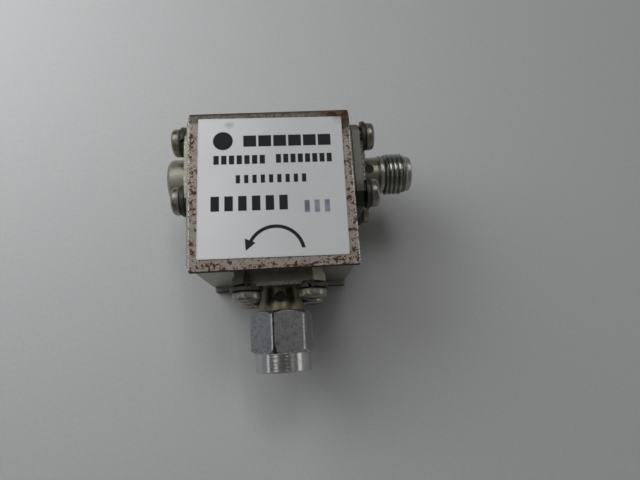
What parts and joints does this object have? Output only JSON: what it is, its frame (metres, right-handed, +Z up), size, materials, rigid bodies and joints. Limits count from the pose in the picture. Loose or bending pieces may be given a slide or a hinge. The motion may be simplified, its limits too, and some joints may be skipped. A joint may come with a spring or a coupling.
{
  "type": "coaxial rf isolator",
  "caption": "Square coaxial isolator: machined housing in a bent steel yoke, with a threaded plug in front, a threaded jack on one side and a capped load port on the other.",
  "frame": {"origin": "under the three-way junction, on the flat underside of the yoke that the isolator stands on", "axes": "+X from the load port to the jack, along the jack's axis; -Y out along the plug's axis; +Z up through the junction to the label"},
  "size_m": [0.0366, 0.0354, 0.0209],
  "materials": {
    "yoke_steel": "dull plated steel sheet with pin-point rust",
    "plated_block": "satin plated, greenish grey",
    "label_film": "white printed film",
    "magnet": "ground ceramic magnet",
    "pole_steel": "plain steel",
    "ferrite": "ground ferrite",
    "strip_metal": "plated strip",
    "connector_body": "turned, plated, tarnished olive",
    "insulator": "white insulator",
    "contact_gold": "gold-coloured plating",
    "epoxy": "black filler",
    "nut_steel": "passivated, with turning lines on the band",
    "gasket": "red-brown rubber",
    "load_metal": "turned, plated",
    "resistor": "film resistor rod",
    "screw_metal": "passivated screw heads",
    "washer_metal": "dull spring steel"
  },
  "bodies": {
    "isolator": {"yoke": "yoke_steel", "housing_block": "plated_block", "label": "label_film", "lower_magnet": "magnet", "upper_magnet": "magnet", "lower_pole_disc": "pole_steel", "upper_pole_disc": "pole_steel", "lower_ferrite": "ferrite", "upper_ferrite": "ferrite", "cover_disc": "plated_block", "centre_conductor": "strip_metal", "plug_body": "connector_body", "plug_dielectric": "insulator", "plug_pin": "contact_gold", "plug_epoxy": "epoxy", "snap_ring": "pole_steel", "gasket": "gasket", "jack_body": "connector_body", "jack_dielectric": "insulator", "jack_contact": "contact_gold", "jack_epoxy": "epoxy", "load_body": "load_metal", "load_resistor": "resistor", "load_bead": "insulator", "load_contact": "contact_gold", "plug_screws": "screw_metal", "jack_screws": "screw_metal", "load_screws": "screw_metal", "plug_lock_washers": "washer_metal", "jack_lock_washers": "washer_metal", "load_lock_washers": "washer_metal"},
    "nut": {"coupling_nut": "nut_steel"}
  },
  "joints": [
    {"name": "nut_spin", "type": "hinge", "parent": "isolator", "child": "nut", "pos_m": [0, -0.0195, 0.0104], "axis": [0, -1, 0], "continuous": true}
  ]
}
